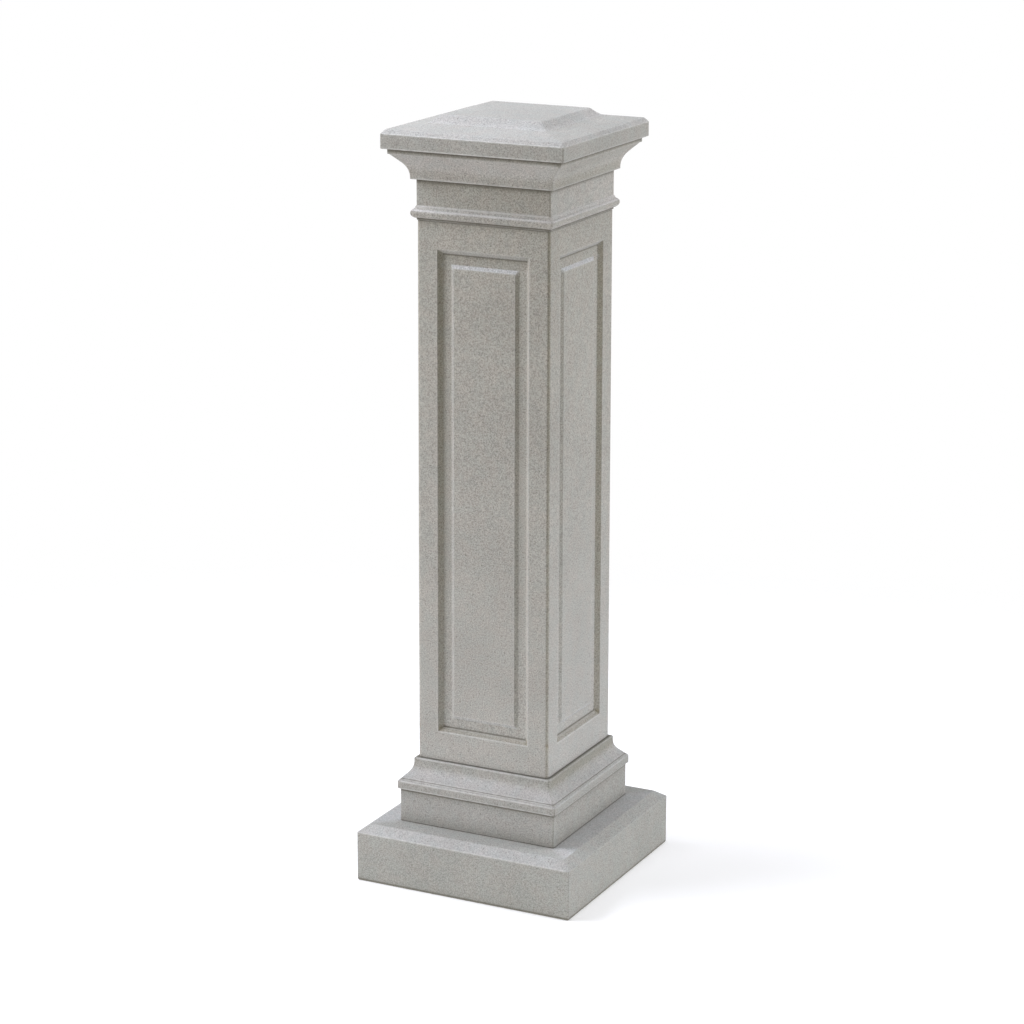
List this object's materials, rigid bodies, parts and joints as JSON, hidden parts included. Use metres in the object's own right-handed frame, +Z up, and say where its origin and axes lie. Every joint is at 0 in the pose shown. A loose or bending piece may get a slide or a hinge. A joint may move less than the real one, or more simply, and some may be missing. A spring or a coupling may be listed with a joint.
{
  "type": "gate pillar",
  "caption": "Square cast-stone gate pillar with a splayed plinth, moulded base, panelled shaft, moulded capital and a swept coping cap.",
  "frame": {"origin": "middle of the plinth's underside, on the ground", "axes": "+Z up the pillar, -Y out of the front face, +X to the right as seen from the front"},
  "size_m": [0.492, 0.492, 1.6045],
  "materials": {
    "cast_stone": "fine-grained grey cast stone, matt, with pale worn edges"
  },
  "bodies": {
    "root": {"plinth": "cast_stone", "base_moulding": "cast_stone", "shaft": "cast_stone", "capital": "cast_stone", "cap": "cast_stone"}
  },
  "joints": []
}
